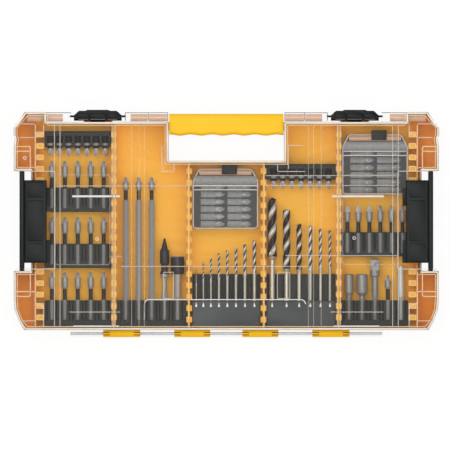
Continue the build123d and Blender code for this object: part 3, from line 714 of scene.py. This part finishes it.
@dataclass
class Lid:
    """The clear lid, with the ribs, steps and thick bars that catch the light in its skin."""

    half_length: float = 223.0
    top_y: float = 116.9
    bottom_y: float = -111.6
    strip_y: float = 106.6
    strip_x: float = 191.0
    waist_x: float = 205.0
    waist: Point = (-49.7, 55.2)
    handle_bay: Point = (60.6, 65.9)
    lower_corner: tuple[Point, ...] = ((11.0, 0.0), (5.6, 9.6), (1.0, 21.6), (0.2, 34.6))
    upper_corner: tuple[Point, ...] = ((0.2, 35.5), (1.5, 27.9), (0.0, 24.2), (0.0, 16.5), (5.0, 10.9),
                                       (11.3, 0.0))
    full_run: Point = (104.0, -108.8)
    wall_run: Point = (103.0, -108.0)
    flange_z: float = 34.7
    rings: tuple[Point, ...] = ((-135.6, -16.2), (134.0, -15.1), (-211.2, 68.8))
    ring_r: float = 1.5

    def outline(self, inset: float) -> tuple[list[Line], list[Line]]:
        """Gives the lid's outline, drawn in by a distance.

        Args:
            inset: How far inside the edge the line runs, in millimetres.

        Returns:
            The two lines round the full-height ends, and the two along the lower waists.
        """
        edge = self.half_length - inset
        low, high = self.waist
        bay_x, bay_y = self.handle_bay
        foot = [(edge - x, self.bottom_y + y + inset * (y == 0)) for x, y in self.lower_corner]
        foot += [(edge - 0.2, low - inset), (self.waist_x - inset, low - inset)]
        head = [(self.waist_x - inset, high + inset), (edge - 0.2, high + inset)]
        head += [(edge - x, self.top_y - y - inset * (y == 0)) for x, y in self.upper_corner]
        head += [(self.strip_x - inset, self.top_y - inset), (self.strip_x - inset, self.strip_y - inset),
                 (bay_x + inset, self.strip_y - inset), (bay_x + inset, bay_y - inset)]
        ends = [mirrored(foot)[::-1] + foot, head + mirrored(head)[::-1]]
        return ends, paired([[foot[-1], head[0]]])

    def edges(self) -> None:
        """Adds the lines of painted light and shade that follow the lid's outline."""
        ends, waists = self.outline(1.15)
        Rib(LID_WALL, 1.7, 1.6, 46.9, 0.6).lay("lid_wall_top", ends)
        Rib(LID_HAZE, 1.7, 20.6, 35.6, 0.6).lay("lid_wall_core", ends)
        Rib(LID_HAZE, 1.7, 16.0, 33.4, 0.6).lay("lid_waist_core", waists)
        Rib(LID_EDGE, 0.4, 0.6, 46.4, 0.6).lay("lid_outer_edge", self.outline(0.25)[0])
        Rib(LID_RIB, 0.9, 0.8, 25.0, 0.6).lay("lid_rim_edge", sum(self.outline(0.6), []))
        Rib(LID_STEP, 0.9, 0.8, 44.6, 0.6).lay("lid_inner_step", self.outline(3.6)[0])

    def straight_ribs(self) -> None:
        """Adds the long, cross and thick ribs of the lid's skin."""
        narrow = Rib(LID_RIB, 0.8)
        narrow.lay("lid_long_ribs", paired(upright((180.2, 174.3), self.full_run)))
        faint = upright((86.0, 91.5, 99.4), self.full_run)
        Rib(LID_FAINT, 0.7).lay("lid_faint_ribs", paired(faint))
        cross = level(39.4, (-178.0, -64.0), (-64.0, 34.0)) + level(50.3, (41.0, 177.0))
        cross += level(39.9, (41.0, 177.0)) + level(-34.3, (-110.0, -122.0))
        cross += level(-44.9, (-110.0, 88.0)) + level(-33.5, (62.0, 180.0))
        narrow.lay("lid_cross_ribs", cross)
        Rib(LID_BAR, 2.2).lay("lid_upper_bars", level(28.6, (-161.4, -111.5), (111.0, 165.0)))
        Rib(LID_BAR, 1.5).lay("lid_foot_bars", level(-107.6, (-160.5, -112.5), (112.5, 160.5)))
        narrow.lay("lid_lower_ribs", level(-92.7, (-164.5, -111.0), (109.0, 164.5)))

    def outlined_parts(self) -> None:
        """Adds the outlines of the lid's panels, recesses, ears and walls, and its ejector rings."""
        sides = [box_line(x, (-43.1, 51.0)) for x in ((-179.6, -122.0), (122.0, 179.6))]
        Rib(LID_FAINT, 0.7, corner=3.0).lay("lid_side_panels", sides)
        raised = [(-86.0, -101.0), (-86.0, -79.7), (83.0, -79.7), (83.0, -84.5)]
        Rib(LID_BAR, 1.0, corner=5.0).lay("lid_raised_outline", [raised])
        recess = [(220.0, 54.9), (179.7, 54.9), (179.7, -47.6), (220.0, -47.6)]
        Rib(LID_RIB, 1.0, 2.0, 46.0).lay("lid_recess_edges", paired([recess]))
        ears = [box_line((205.5, 221.0), y) for y in ((57.0, 80.8), (-76.4, -50.4))]
        ears += level(75.8, (205.5, 221.0)) + level(-71.3, (201.0, 221.0))
        Rib(LID_STEP, 1.1, corner=1.8).lay("lid_ear_outlines", paired(ears))
        corners = level(90.2, (201.0, 216.0)) + level(104.5, (200.8, 221.0))
        corners += level(-102.0, (201.0, 214.0)) + [
            [(191.6, -108.5), (191.6, -87.0), (200.0, -83.0)],
            [(191.6, 103.5), (191.6, 95.0), (201.0, 90.2)]]
        Rib(LID_RIB, 1.0).lay("lid_corner_steps", paired(corners))
        hooks = [[(65.0, 81.9), (65.0, 57.3)], [(53.7, 63.0), (53.7, 54.6), (82.6, 54.6)],
                 [(-67.5, 81.9), (-67.5, 54.6), (-54.9, 54.6), (-54.9, 63.0)],
                 [(65.0, 81.9), (80.5, 81.9)]]
        Rib(LID_RIB, 0.9).lay("lid_handle_steps", hooks)
        windows = [box_line(x, (-78.5, -51.0)) for x in ((-66.0, -55.5), (53.5, 66.5))]
        Rib(LID_RIB, 0.8, corner=1.0).lay("lid_window_outlines", windows)
        walls = upright((116.4, 119.6), self.wall_run) + upright((39.8,), (62.0, self.wall_run[1]))
        walls += upright((200.4,), (self.wall_run[0], 57.0), (-51.0, self.wall_run[1]))
        Rib(LID_RIB, 0.9).lay("lid_wall_lines", paired(walls))
        Rib(LID_BAR, 0.7).lay("lid_ejector_rings", [ring(spot, self.ring_r) for spot in self.rings])

    def flange(self) -> None:
        """Adds the flange's outline and the hazy panels between its ribs."""
        edge = [[(61.4, 107.4), (61.4, 116.3), (106.0, 116.3)]] + level(116.3, (163.0, 191.0))
        edge += upright((82.0, 106.0, 190.0), (108.0, 116.3))
        Rib(LID_EDGE, 0.8, 1.2, self.flange_z, 0.5).lay("lid_flange_outline", paired(edge))
        panels = level(111.0, (62.0, 81.4), (82.7, 100.5), (171.5, 189.3), (191.4, 209.0))
        Rib(FLANGE_HAZE, 7.6, 1.2, self.flange_z).lay("lid_flange_panels", paired(panels))

    def build(self) -> None:
        """Dresses the lid and adds its ribs."""
        dress(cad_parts["lid_shell"], CLEAR_LID)
        self.edges()
        self.straight_ribs()
        self.outlined_parts()
        self.flange()


@dataclass
class SideLatch:
    """A large charcoal latch that lies over a short side, with painted shade round its plate and panels."""

    hand: str
    rounding: float = 0.5
    plate: ClassVar[Point] = (-41.2, 45.5)
    plate_x: Point = (188.8, 210.9)
    panels: tuple[Point, ...] = ((-39.0, -21.0), (-18.0, 24.0), (28.0, 43.0))
    panel_x: Point = (192.2, 208.0)
    # A near-black strip of painted shade along each groove
    groove: Rib = Rib(GROOVE_SHADE, 0.9, 0.3, 47.5, 0.8)

    def build(self) -> None:
        """Rounds the latch's edges, and lays strips of painted shade round its plate and panels."""
        node = f"side_latch_{self.hand}"
        soften(node, f"side_latch_cover_{self.hand}", CHARCOAL, self.rounding, "black_plastic", node)
        low, high = self.plate
        lines = [box_line(self.panel_x, panel) for panel in self.panels]
        lines.append(box_line(self.plate_x, (low + self.groove.width, high - self.groove.width)))
        if self.hand == "left":
            lines = [mirrored(line) for line in lines]
        self.groove.lay(f"side_latch_grooves_{self.hand}", lines, node, "black_plastic")


@dataclass
class TopLatch:
    """A small black latch on the handle side, with three pads."""

    hand: str
    rounding: float = 0.4
    middle_x: float = 134.8
    pads: tuple[Point, ...] = ((-21.0, -9.6), (-8.4, 8.4), (9.6, 21.0))
    pad_y: Point = (110.6, 115.4)
    highlight_y: float = 109.3
    highlight_inset: float = 0.5
    # A near-black strip of painted shade round each pad
    groove: Rib = Rib(GROOVE_SHADE, 0.8, 0.3, 39.6, 0.8)
    # A pale grey strip of painted highlight under each pad
    edge_highlight: Rib = Rib(PAINTED_EDGE_HIGHLIGHT, 0.7, 0.3, 39.6, 0.8)

    def build(self) -> None:
        """Rounds the latch's edges, lays painted shade round its pads, and painted highlights below."""
        node = f"top_latch_{self.hand}"
        soften(node, f"top_latch_cover_{self.hand}", BLACK, self.rounding, "black_plastic", node)
        middle = SIDES[self.hand] * self.middle_x
        pads = [(middle + low, middle + high) for low, high in self.pads]
        groove_shades = [box_line(pad, self.pad_y) for pad in pads]
        self.groove.lay(f"top_latch_grooves_{self.hand}", groove_shades, node, "black_plastic")
        edge_highlights = level(self.highlight_y, *((low + self.highlight_inset, high - self.highlight_inset) for low, high in pads))
        self.edge_highlight.lay(f"top_latch_lips_{self.hand}", edge_highlights, node, "black_plastic")


@dataclass
class Racks:
    """The grey bars that hold the bits, and the index bars and covers of the drills."""

    bars: tuple[str, ...] = ("rack_long", "rack_lower_left", "rack_middle_left", "rack_nutsetters",
                             "rack_power_right", "rack_short_left", "rack_short_right",
                             "rack_upper_left", "index_large_drills")
    black_bar: str = "index_small_drills"
    covers: tuple[str, ...] = ("cover_large_drills", "cover_small_drills")
    rounding: float = 0.2

    def build(self) -> None:
        """Rounds the edges of the bars and the covers."""
        for node in self.bars:
            soften(node, f"{node}_bar", RACK_GREY, self.rounding, "grey_plastic")
        soften(self.black_bar, f"{self.black_bar}_bar", INDEX_BLACK, self.rounding, "grey_plastic")
        for node in self.covers:
            soften(node, f"{node}_lid", COVER_GREY, self.rounding, "grey_plastic")


@dataclass
class DriverBits:
    """Rows of driver bits, each darker along its waist, and the single tools.

    A band's two ends are measured from its bits' or tool's lower end. The cutter's band runs past
    its tip.
    """

    rows: tuple[str, ...] = ("bits_upper_left", "bits_middle_left", "bits_lower_left",
                             "bits_power_right", "bits_long", "point_bit")
    short_rows: tuple[str, ...] = ("bits_short_left", "bits_short_right")
    waist: Point = (21.0, 32.5)
    long_waist: Point = (126.0, 136.0)
    short_bands: tuple[Point, ...] = ((8.2, 11.2), (13.8, 25.5))
    cutter: Point = (48.0, 200.0)
    sleeve: Point = (48.0, 66.0)
    rounding: float = 0.3

    def banded(self, node: str, name: str, colours: tuple[str, str, str], bands: tuple[Point, ...],
               slot: str = "grey_steel") -> None:
        """Dresses a row or a tool in steel with dark bands.

        Args:
            node: The CAD node.
            name: Name of the new piece.
            colours: The finish's name, its colour and its darker one.
            bands: The dark bands' ends, from the node's lower end.
            slot: The record's material slot for it.
        """
        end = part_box(node)[0].y / MM
        steel = BandedSteel(*colours, tuple((end + low, end + high) for low, high in bands))
        soften(node, name, steel, self.rounding, slot)

    def build(self) -> None:
        """Dresses every row and tool."""
        for node in self.rows:
            waist = self.long_waist if node == "bits_long" else self.waist
            self.banded(node, f"{node}_set", (f"phosphated_steel_{node}", "A1A09E", "272424"), (waist,))
        for node in self.short_rows:
            colours = (f"phosphated_steel_{node}", "B4B1AC", "1B1A1A")
            self.banded(node, f"{node}_set", colours, self.short_bands)
        for hand in SIDES:
            soften(f"box_bits_{hand}", f"box_bits_{hand}_set", CASE_STEEL, self.rounding, "grey_steel")
        for node in ("nutsetter_small", "nutsetter_large", "socket_adaptor"):
            soften(node, f"{node}_tool", GREY_STEEL, self.rounding, "grey_steel")
        soften("magnetic_holder", "magnetic_holder_tool", BRIGHT_STEEL, self.rounding, "bright_steel")
        oxide = ("black_oxide_countersink_on_grey_shank", "A3A09B", "262425")
        self.banded("countersink", "countersink_tool", oxide, (self.cutter,), "black_steel")
        chrome = ("chromed_holder_with_black_sleeve", "B5B2AE", "262526")
        self.banded("quick_release_holder", "quick_release_tool", chrome, (self.sleeve,))


@cache
def drill_tree() -> NodeTree:
    """Returns the tree that shapes a twist drill, lying along Y, from a plain cylinder.

    Its flutes are a wave round the axis that turns with the length. The attribute cut says how deep
    a spot lies in a flute, and plain is one along the shank.
    """
    tree, given = input_tree("twist_drill", Radius="Float", Length="Float", Shank="Float", Neck="Float",
                             Lead="Float", X="Float", Tail="Float", Z="Float", Sides="Int", Steps="Int")
    rod = add(tree, "GeometryNodeMeshCylinder", {
        "Vertices": given["Sides"], "Side Segments": given["Steps"], "Radius": 1.0, "Depth": 1.0})
    where = add(tree, "GeometryNodeInputPosition")
    found = dict(zip("xyz", add(tree, "ShaderNodeSeparateXYZ", (where,)).outputs))
    found.update((socket.name, socket) for socket in given)
    work_out(tree, found, (
        ("share", "ADD", "z", 0.5),
        ("along", "MULTIPLY", "share", "Length"),
        ("past", "SUBTRACT", "along", "Shank"),
        ("left", "SUBTRACT", "Length", "along"),
        # How deep a spot lies in a flute, which runs out over 6 mm towards the shank
        ("angle", "ARCTAN2", "y", "x"),
        ("turns", "DIVIDE", "along", "Lead"),
        ("twist", "MULTIPLY", "turns", 2 * pi),
        ("phase", "SUBTRACT", "angle", "twist"),
        ("double", "MULTIPLY", "phase", 2.0),
        ("wave", "COSINE", "double"),
        ("groove", "SMOOTHSTEP", "wave", 0.0, 0.9),
        ("run_out", "LINEAR", "past", 0.0, 6 * MM),
        ("cut", "MULTIPLY", "groove", "run_out"),
        # What the flutes, the lands' relief, the point, the neck and the tail leave of the radius
        ("depth", "MULTIPLY_ADD", "cut", -0.6, 1.0),
        ("relief", "LINEAR", "run_out", 0.0, 1.0, 1.0, 0.96),
        ("cone", "MULTIPLY", "Radius", 0.42),
        ("point", "LINEAR", "left", 0.0, "cone", 0.04, 1.0),
        ("neck", "LINEAR", "past", -3 * MM, 0.0, "Neck", 1.0),
        ("tail", "LINEAR", "along", 0.0, 0.4 * MM, 0.85, 1.0),
        ("size", "MULTIPLY", "depth", "relief"),
        ("ground", "MULTIPLY", "size", "point"),
        ("waisted", "MULTIPLY", "ground", "neck"),
        ("ended", "MULTIPLY", "waisted", "tail"),
        ("radius", "MULTIPLY", "ended", "Radius"),
        # Where the spot goes
        ("side", "MULTIPLY_ADD", "x", "radius", "X"),
        ("back", "MULTIPLY", "y", -1.0),
        ("rise", "MULTIPLY_ADD", "back", "radius", "Z"),
        ("reach", "ADD", "along", "Tail"),
        ("plain", "LINEAR", "past", 0.0, 0.5 * MM, 1.0, 0.0)))
    spot = add(tree, "ShaderNodeCombineXYZ", (found["side"], found["reach"], found["rise"]))
    shape = rod
    for name in ("cut", "plain"):
        shape = add(tree, "GeometryNodeStoreNamedAttribute",
                    {"Geometry": shape, "Name": name, "Value": found[name]})
    turned = add(tree, "GeometryNodeSetPosition", {"Geometry": shape, "Position": spot})
    smooth = add(tree, "GeometryNodeSetShadeSmooth", {"Geometry": turned})
    return end_tree(tree, smooth, given["Material"])


@dataclass
class TwistDrills:
    """Six large drills, black or bright, and a row of eight small bright ones.

    Each shank is given by its share of the drill's length and of its diameter.
    """

    black: tuple[str, ...] = ("drill_10", "drill_8", "drill_6")
    bright: tuple[str, ...] = ("drill_5", "drill_4", "drill_3_5")
    shanks: tuple[Point, ...] = ((0.53, 0.55), (0.45, 0.6), (0.48, 0.68), (0.47, 0.8), (0.5, 0.8),
                                 (0.5, 0.78))
    small_sizes: tuple[float, ...] = (1.5, 2.0, 2.5, 3.0, 3.2, 3.5, 4.0, 4.5)
    small_lengths: tuple[float, ...] = (40.0, 49.0, 54.0, 61.0, 64.5, 68.5, 74.0, 80.0)
    small_shank: Point = (0.55, 0.82)
    small_gap: float = 5.7
    first_axis: float = -31.6
    tail_step: float = 3.5
    leads: float = 4.3
    fine_from: float = 4.6
    steps_per_mm: float = 1.3

    def small_axes(self) -> list[float]:
        """Returns where the small drills' axes lie along X, in millimetres."""
        axes = [self.first_axis]
        for before, after in zip(self.small_sizes, self.small_sizes[1:]):
            axes.append(axes[-1] + (before + after) / 2 + self.small_gap)
        return axes

    def large_axes(self) -> list[float]:
        """Returns the same for the large drills."""
        return [sum(corner.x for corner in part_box(node)) / 2 / MM for node in self.black + self.bright]

    def mesh(self, end: tuple[float, float, float], diameter: float, length: float, shank: Point,
             kind: Finish) -> Mesh:
        """Makes one drill.

        Args:
            end: The middle of its tail's end, in millimetres.
            diameter: Its diameter.
            length: Its length.
            shank: The shank's share of the length, and of the diameter.
            kind: Its finish.

        Returns:
            The drill's mesh, in place.
        """
        x, tail, z = end
        return grown(bpy.data.meshes.new("drill"), drill_tree(), {
            "Radius": diameter / 2 * MM, "Length": length * MM, "Shank": length * shank[0] * MM,
            "Neck": shank[1], "Lead": diameter * self.leads * MM, "X": x * MM, "Tail": tail * MM,
            "Z": z * MM, "Sides": 36 if diameter > self.fine_from else 20,
            "Steps": int(length * self.steps_per_mm), "Material": finish(kind)})

    def build(self) -> None:
        """Makes every drill in the place of its CAD node."""
        for node, shank in zip(self.black + self.bright, self.shanks):
            dark = node in self.black
            kind, slot = (BLACK_DRILL, "black_steel") if dark else (BRIGHT_DRILL, "bright_steel")
            low, high = (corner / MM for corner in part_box(node))
            middle = (low + high) / 2
            mesh = self.mesh((middle.x, low.y, middle.z), high.x - low.x, high.y - low.y, shank, kind)
            fit(node.replace("drill", "twist_drill"), mesh, kind, "tray", slot, node)
        low, high = (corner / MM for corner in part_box("small_drills"))
        work = bmesh.new()
        for x, size, length in zip(self.small_axes(), self.small_sizes, self.small_lengths):
            tail = low.y + (self.small_sizes[-1] - size) * self.tail_step
            end = (x, tail, (low.z + high.z) / 2)
            work.from_mesh(self.mesh(end, size, length, self.small_shank, BRIGHT_DRILL))
        joined = bpy.data.meshes.new("twist_drills_small")
        work.to_mesh(joined)
        work.free()
        fit("twist_drills_small", joined, BRIGHT_DRILL, "tray", "bright_steel", "small_drills")


@cache
def mark_tree() -> NodeTree:
    """Returns the tree that prints a size mark at every point."""
    tree, given = input_tree("size_marks", Mark="Object")
    shape = add(tree, "GeometryNodeObjectInfo", {"Object": given["Mark"]})
    marks = add(tree, "GeometryNodeInstanceOnPoints",
                {"Points": given["Geometry"], "Instance": shape.outputs["Geometry"]})
    return end_tree(tree, marks, given["Material"])


@dataclass
class SizeMarks:
    """White printed drops on the index covers, one under each drill."""

    height: float = 5.2
    radius: float = 1.15
    thickness: float = 0.12
    mark_y: float = -86.6

    def drop(self) -> Object:
        """Returns an object with the mesh of one mark, round below and pointed above."""
        outline = [(self.radius * cos(radians(a)), self.radius * sin(radians(a)))
                   for a in range(150, 391, 24)]
        outline.append((0.0, self.height - self.radius))
        work = bmesh.new()
        flat = work.faces.new([work.verts.new((x * MM, y * MM, 0.0)) for x, y in outline])
        raised = bmesh.ops.extrude_face_region(work, geom=[flat])
        bmesh.ops.translate(work, vec=(0, 0, self.thickness * MM),
                            verts=[v for v in raised["geom"] if isinstance(v, bmesh.types.BMVert)])
        bmesh.ops.recalc_face_normals(work, faces=work.faces)
        mesh = bpy.data.meshes.new("drop")
        work.to_mesh(mesh)
        work.free()
        return new_object("drop", mesh)

    def build(self, axes: dict[str, list[float]]) -> None:
        """Prints the marks of both covers.

        Args:
            axes: Where the drills' axes lie along X, under the size of the drills, small or large.
        """
        drop = self.drop()
        for size, places in axes.items():
            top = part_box(f"cover_{size}_drills")[1].z
            points = bpy.data.meshes.new("points")
            points.from_pydata([(x * MM, self.mark_y * MM, top) for x in places], [], [])
            mesh = grown(points, mark_tree(), {"Mark": drop, "Material": finish(INK)})
            fit(f"size_marks_{size}", mesh, INK, "tray", "grey_plastic")
        bpy.data.objects.remove(drop)


@dataclass
class SmallCase:
    """A small clear case of short bits: a foggy tray and lid, a cream rim and a charcoal tab.

    The steps, the pale band of painted sheen and the strip over the yellow are measured down from
    the lid's top.
    """

    hand: str
    cut: Point = (6.5, 12.0)
    rim: float = 1.0
    steps: Point = (17.2, 21.6)
    # Painted sheen: a pale band across the lid
    fog: float = 11.6
    strip: float = 3.6
    sunk: float = 0.6
    inset: float = 1.0
    rounding: Point = (0.2, 0.3)

    def build(self) -> None:
        """Dresses the case and adds the rim and the steps of its lid."""
        hand = self.hand
        lid = f"box_lid_{hand}"
        for node in (f"box_tray_{hand}", lid):
            dress(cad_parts[node], BOX_CLEAR)
        bar_edge, tab_edge = self.rounding
        soften(f"box_bars_{hand}", f"box_bars_{hand}_holder", CASE_BAR, bar_edge, "grey_plastic")
        soften(f"box_tab_{hand}", f"box_tab_{hand}_clip", CHARCOAL, tab_edge, "black_plastic", lid)
        low, high = (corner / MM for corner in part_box(lid))
        left, right = low.x + self.rim, high.x - self.rim
        bottom, top = low.y + self.rim, high.y - self.rim
        cut_x, cut_y = self.cut
        outline = [(left, bottom), (right, bottom), (right, top - cut_y), (right - cut_x, top),
                   (left + cut_x, top), (left, top - cut_y), (left, bottom)]
        across = (left + self.inset, right - self.inset)
        steps = [line for drop in self.steps for line in level(top - drop, across)]
        fog = level(top - self.fog, across)
        strip = level(top - self.strip, (left + cut_x, right - cut_x))
        for part, lines, kind, width, tall in (("rim", [outline], BOX_RIM, 1.3, 8.0),
                                               ("steps", steps, LID_BAR, 1.0, 0.8),
                                               ("fog", fog, BOX_SHEEN, 9.0, 0.6),
                                               ("strip", strip, BOX_STRIP, 5.0, 0.6)):
            rib = Rib(kind, width, tall, high.z - self.sunk - tall / 2, 3.0)
            rib.lay(f"small_case_{part}_{hand}", lines, lid, "box_plastic")


@dataclass
class Studio:
    """A pale floor, a white surround and soft lamps, with the camera straight above the case.

    The floor and the camera's distance are given in metres. A lamp is given by its name, its place
    and its edge in metres, and its power in watts.
    """

    aim: Point = (-1.4, -1.5)
    view_width: float = 472.0
    distance: float = 12.0
    sensor: float = 36.0
    aim_height: float = 36.0
    floor_half: float = 6.0
    floor_z: float = -0.0002
    sky: float = 0.43
    lamps: tuple[tuple, ...] = (("key", (-0.25, 0.36, 1.9), 1.3, 19.0),
                                ("fill", (0.6, -0.5, 1.8), 1.0, 7.6))

    def floor(self) -> None:
        """Makes the floor, white to the camera but for the object's shadow."""
        half, low = self.floor_half, self.floor_z
        mesh = bpy.data.meshes.new("floor")
        corners = box_line((-half, half), (-half, half))[:-1]
        mesh.from_pydata([(x, y, low) for x, y in corners], [], [(0, 1, 2, 3)])
        material, tree = blank_material("floor_paper_white")
        rays = add(tree, "ShaderNodeLightPath").outputs
        seen = add(tree, MATH, (rays["Is Camera Ray"], rays["Is Glossy Ray"]), operation="MAXIMUM")
        shown = add(tree, MATH, (seen, rays["Is Transmission Ray"]), operation="MAXIMUM")
        glow = add(tree, MATH, (shown, 0.9), operation="MULTIPLY")
        paper = add(tree, "ShaderNodeBsdfDiffuse", {"Color": linear("E8E8E8")})
        white = add(tree, "ShaderNodeEmission", {"Color": WHITE, "Strength": 1.03})
        mixed = add(tree, "ShaderNodeMixShader", (glow, paper, white))
        add(tree, "ShaderNodeOutputMaterial", {"Surface": mixed})
        mesh.materials.append(material)
        thing = new_object("floor", mesh)

    def surround(self) -> None:
        """Makes the world: soft grey light, white where the camera sees it."""
        world = bpy.data.worlds.new("surround")
        bpy.context.scene.world = world
        world.use_nodes = True
        tree = world.node_tree
        tree.nodes.clear()
        rays = add(tree, "ShaderNodeLightPath").outputs
        light = add(tree, RAMP, {0: rays["Is Camera Ray"], 3: self.sky, 4: 1.0})
        back = add(tree, "ShaderNodeBackground", {"Color": WHITE, "Strength": light})
        add(tree, "ShaderNodeOutputWorld", {"Surface": back})

    def hang_lamps(self) -> None:
        """Hangs square soft lamps that face the case."""
        for name, spot, size, power in self.lamps:
            data = bpy.data.lights.new(name, "AREA")
            data.size = size
            data.energy = power
            thing = new_object(name, data)
            thing.location = spot
            thing.rotation_euler = Vector(spot).to_track_quat("Z", "Y").to_euler()

    def camera(self) -> None:
        """Makes the camera at the photograph's angle: straight above, with the handle up."""
        data = bpy.data.cameras.new("camera")
        data.type = "PERSP"
        data.sensor_width = self.sensor
        reach = self.distance - self.aim_height * MM
        data.lens = self.sensor * reach / (self.view_width * MM)
        data.clip_end = 100.0
        thing = new_object("camera", data)
        thing.location = (self.aim[0] * MM, self.aim[1] * MM, self.distance)
        bpy.context.scene.camera = thing

    def build(self) -> None:
        """Sets up the whole studio."""
        bpy.context.scene.view_settings.view_transform = "Standard"
        self.floor()
        self.surround()
        self.hang_lamps()
        self.camera()


def main() -> None:
    """Builds the case's looks and the studio round it."""
    logging.basicConfig(level=logging.INFO, format="%(message)s")
    Studio().build()
    Tray().build()
    Lid().build()
    for hand in SIDES:
        SideLatch(hand).build()
        TopLatch(hand).build()
        SmallCase(hand).build()
    Racks().build()
    DriverBits().build()
    drills = TwistDrills()
    drills.build()
    SizeMarks().build({"small": drills.small_axes(), "large": drills.large_axes()})


if __name__ == "__main__":
    main()
